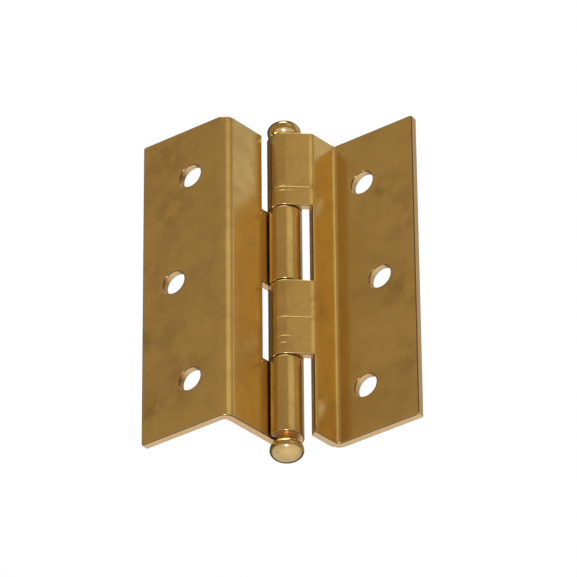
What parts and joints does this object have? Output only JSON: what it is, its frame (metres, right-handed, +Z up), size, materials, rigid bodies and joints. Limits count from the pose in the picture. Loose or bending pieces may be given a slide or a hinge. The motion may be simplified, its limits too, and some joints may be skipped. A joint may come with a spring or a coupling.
{
  "type": "cranked door hinge",
  "caption": "Pressed brass cranked hinge: two bent leaves with staggered screw holes, interleaved rolled knuckles and a loose ball-tipped pin.",
  "frame": {"origin": "middle of the frame leaf's upper and lower screw holes, on the face that bears on the timber", "axes": "+Z up along the pin, +Y square into the timber behind both plates, +X along the plates from the frame leaf to the sash leaf"},
  "size_m": [0.0461, 0.0217, 0.073],
  "materials": {
    "brass_sheet": "polished pressed sheet, slightly tarnished",
    "brass_tip": "polished turned ball",
    "pin_steel": "plain drawn wire"
  },
  "bodies": {
    "frame_leaf": {"frame_leaf": "brass_sheet", "lower_tip": "brass_tip"},
    "sash_leaf": {"sash_leaf": "brass_sheet"},
    "pin": {"pin_shank": "pin_steel", "pin_head": "brass_tip"}
  },
  "joints": [
    {"name": "sash_swing", "type": "hinge", "parent": "frame_leaf", "child": "sash_leaf", "pos_m": [0.0116, 0.0119, 0], "axis": [0, 0, 1], "range_deg": [-113, 182]},
    {"name": "pin_draw", "type": "slide", "parent": "frame_leaf", "child": "pin", "axis": [0, 0, 1], "range_m": [0, 0.062]}
  ]
}
